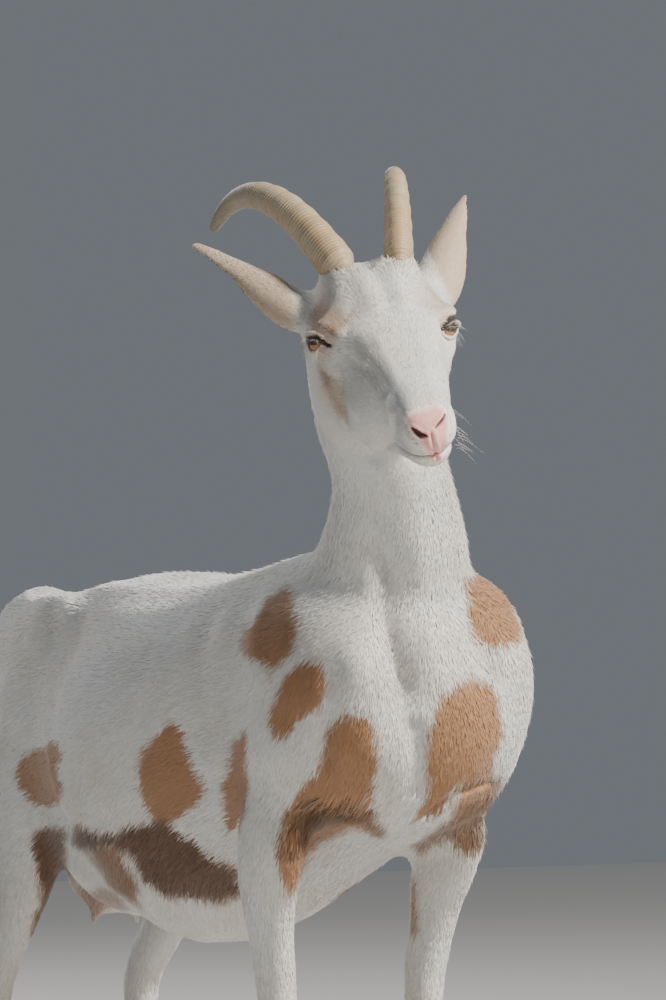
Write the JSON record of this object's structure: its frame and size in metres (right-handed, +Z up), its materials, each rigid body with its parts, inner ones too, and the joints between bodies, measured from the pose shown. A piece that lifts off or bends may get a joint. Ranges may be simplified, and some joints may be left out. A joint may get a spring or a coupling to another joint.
{
  "type": "goat",
  "caption": "Standing short-haired goat with back-curved horns, laid-back ears and its head raised and turned to its right; life-size still figure.",
  "frame": {"origin": "on the floor, under the middle of the bounding box", "axes": "+Z is up, the goat faces -Y, its left side is towards +X"},
  "size_m": [0.3274, 0.9432, 1.0283],
  "materials": {
    "coat": "short white hair with tan patches",
    "pink": "thinly haired pink skin",
    "horn": "ridged horn, satin",
    "eye": "wet amber eye with a level slit pupil",
    "hoof": "worn horn of the hoof"
  },
  "bodies": {
    "root": {"claw_front_left_inner": "hoof", "claw_front_left_outer": "hoof", "claw_front_right_inner": "hoof", "claw_front_right_outer": "hoof", "claw_hind_left_inner": "hoof", "claw_hind_left_outer": "hoof", "claw_hind_right_inner": "hoof", "claw_hind_right_outer": "hoof", "dewclaw_front_left_inner": "hoof", "dewclaw_front_left_outer": "hoof", "dewclaw_front_right_inner": "hoof", "dewclaw_front_right_outer": "hoof", "dewclaw_hind_left_inner": "hoof", "dewclaw_hind_left_outer": "hoof", "dewclaw_hind_right_inner": "hoof", "dewclaw_hind_right_outer": "hoof", "ear_left": "pink", "ear_right": "pink", "eye_left": "eye", "eye_right": "eye", "foreleg_left": "coat", "foreleg_right": "coat", "head": "coat", "hindleg_left": "coat", "hindleg_right": "coat", "horn_left": "horn", "horn_right": "horn", "neck": "coat", "tail": "coat", "trunk": "coat", "udder": "pink"}
  },
  "joints": []
}
